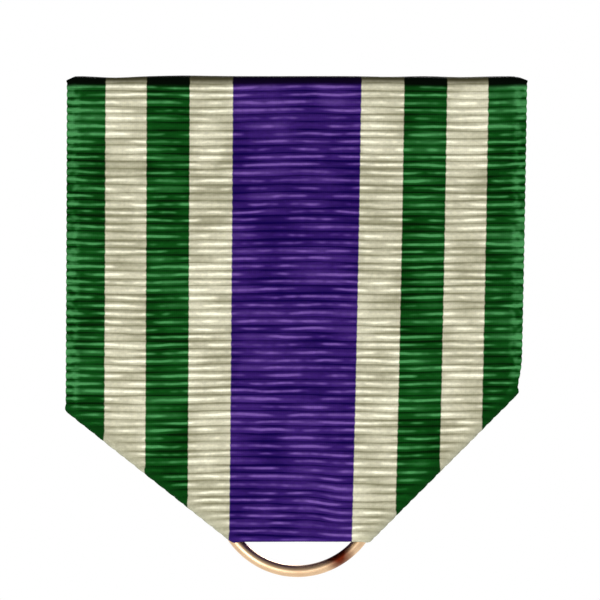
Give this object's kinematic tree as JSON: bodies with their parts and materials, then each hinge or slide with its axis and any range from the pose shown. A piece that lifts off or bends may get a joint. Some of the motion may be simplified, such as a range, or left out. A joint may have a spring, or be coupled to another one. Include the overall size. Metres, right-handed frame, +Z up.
{
  "type": "medal suspension ribbon",
  "caption": "Striped grosgrain medal ribbon drape folded to a pentagon over a brooch bar, with hinged pin, turning lock catch and suspension ring.",
  "frame": {"origin": "middle of the raised pad on the brooch plate, where it bears on the cloth it is pinned to", "axes": "+Z up as worn, -Y towards the striped front, +Y into the garment, +X to the right as seen from the front"},
  "size_m": [0.035, 0.008, 0.0383],
  "materials": {
    "ribbon_weave": "ribbed silk-like weave in green, cream and purple stripes",
    "brass_bar": "satin",
    "brass_plate": "satin, lightly brushed",
    "brass_fitting": "satin",
    "brass_rivet": "polished",
    "pin_steel": "polished nickel plate",
    "catch_nickel": "polished nickel plate",
    "ring_bronze": "polished bronze",
    "sewing_thread": "waxed thread"
  },
  "bodies": {
    "drape": {"ribbon": "ribbon_weave", "brooch_bar": "brass_bar", "brooch_plate": "brass_plate", "hinge_bracket": "brass_fitting", "hinge_rivet": "brass_rivet", "hinge_axle": "brass_rivet", "catch_housing": "brass_fitting", "catch_rivet": "brass_rivet", "tab_stitch_1": "sewing_thread", "tab_stitch_2": "sewing_thread", "tab_stitch_3": "sewing_thread", "tab_stitch_4": "sewing_thread", "tab_stitch_5": "sewing_thread", "tab_stitch_6": "sewing_thread"},
    "pin": {"pin_stem": "pin_steel"},
    "catch_lock": {"catch_spool": "catch_nickel"},
    "ring": {"suspension_ring": "ring_bronze"}
  },
  "joints": [
    {"name": "pin_swing", "type": "hinge", "parent": "drape", "child": "pin", "pos_m": [-0.01371, 0.0026, 0], "axis": [0, 0, 1], "range_deg": [0, 110]},
    {"name": "catch_turn", "type": "hinge", "parent": "drape", "child": "catch_lock", "pos_m": [0.01371, 0.0026, 0], "axis": [-1, 0, 0], "range_deg": [0, 90]},
    {"name": "ring_slide", "type": "slide", "parent": "drape", "child": "ring", "axis": [0, 0, -1], "range_m": [0, 0.0072]}
  ]
}
